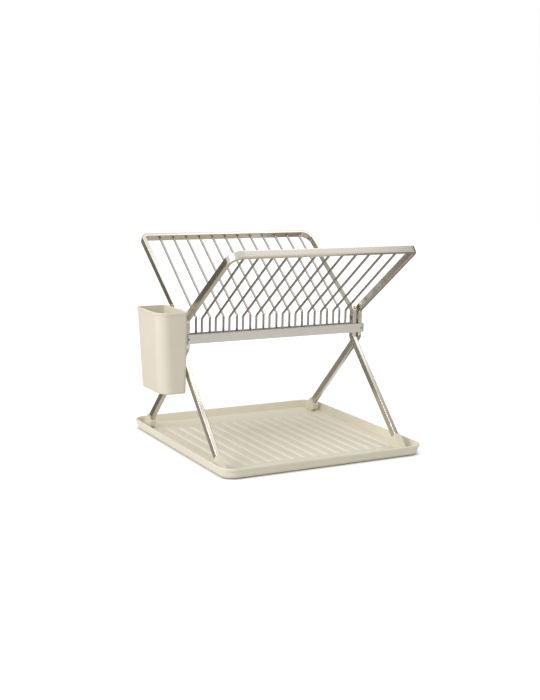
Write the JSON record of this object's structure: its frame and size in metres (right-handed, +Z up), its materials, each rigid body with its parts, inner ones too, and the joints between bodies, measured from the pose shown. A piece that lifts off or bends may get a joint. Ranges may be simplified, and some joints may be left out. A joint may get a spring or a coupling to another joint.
{
  "type": "folding dish drainer",
  "caption": "Folding dish drainer: two crossed strip frames with plate wires, standing in a ribbed drip tray, with a hook-on cutlery holder.",
  "frame": {"origin": "middle between the two frames, on the surface that the drip tray stands on", "axes": "+X runs along the bars to the right, -Y faces the user, +Z is up"},
  "size_m": [0.4241, 0.377, 0.3484],
  "materials": {
    "tray_plastic": "satin warm cream",
    "holder_plastic": "satin warm cream",
    "foot_plastic": "satin cream",
    "strip_metal": "satin champagne",
    "wire_steel": "polished wire",
    "cap_plastic": "satin grey",
    "rivet_metal": "satin",
    "pivot_metal": "satin"
  },
  "bodies": {
    "tray": {"drip_tray": "tray_plastic"},
    "pivots": {"left_pivot_pin": "pivot_metal", "right_pivot_pin": "pivot_metal", "left_pivot_washer": "pivot_metal", "right_pivot_washer": "pivot_metal"},
    "front_rack": {"front_frame": "strip_metal", "front_lower_bar": "strip_metal", "front_bar_cap_outer": "cap_plastic", "front_bar_cap_inner": "cap_plastic", "front_bar_rivet_outer": "rivet_metal", "front_bar_rivet_inner": "rivet_metal", "front_frame_foot_outer": "foot_plastic", "front_frame_foot_inner": "foot_plastic", "front_wire_01": "wire_steel", "front_wire_02": "wire_steel", "front_wire_03": "wire_steel", "front_wire_04": "wire_steel", "front_wire_05": "wire_steel", "front_wire_06": "wire_steel", "front_wire_07": "wire_steel", "front_wire_08": "wire_steel", "front_wire_09": "wire_steel", "front_wire_10": "wire_steel", "front_wire_11": "wire_steel", "front_wire_12": "wire_steel"},
    "rear_rack": {"rear_frame": "strip_metal", "rear_lower_bar": "strip_metal", "rear_bar_cap_outer": "cap_plastic", "rear_bar_cap_inner": "cap_plastic", "rear_bar_rivet_outer": "rivet_metal", "rear_bar_rivet_inner": "rivet_metal", "rear_frame_foot_outer": "foot_plastic", "rear_frame_foot_inner": "foot_plastic", "rear_wire_01": "wire_steel", "rear_wire_02": "wire_steel", "rear_wire_03": "wire_steel", "rear_wire_04": "wire_steel", "rear_wire_05": "wire_steel", "rear_wire_06": "wire_steel", "rear_wire_07": "wire_steel", "rear_wire_08": "wire_steel", "rear_wire_09": "wire_steel", "rear_wire_10": "wire_steel", "rear_wire_11": "wire_steel", "rear_wire_12": "wire_steel"},
    "holder": {"cutlery_holder": "holder_plastic"}
  },
  "joints": [
    {"name": "rack_lift", "type": "slide", "parent": "tray", "child": "pivots", "axis": [0, 0, 1], "range_m": [0, 0.1414]},
    {"name": "fold_front", "type": "hinge", "parent": "pivots", "child": "front_rack", "pos_m": [0, 0, 0.2065], "axis": [-1, 0, 0], "range_deg": [0, 45]},
    {"name": "fold_rear", "type": "hinge", "parent": "pivots", "child": "rear_rack", "pos_m": [0, 0, 0.2065], "axis": [1, 0, 0], "range_deg": [0, 45]},
    {"name": "holder_lift", "type": "slide", "parent": "rear_rack", "child": "holder", "axis": [0, 0, 1], "range_m": [0, 0.06]}
  ],
  "couplings": [
    {"joint": "fold_rear", "follows": "fold_front", "ratio": 1},
    {"joint": "rack_lift", "follows": "fold_front", "m_per_rad": 0.18}
  ]
}
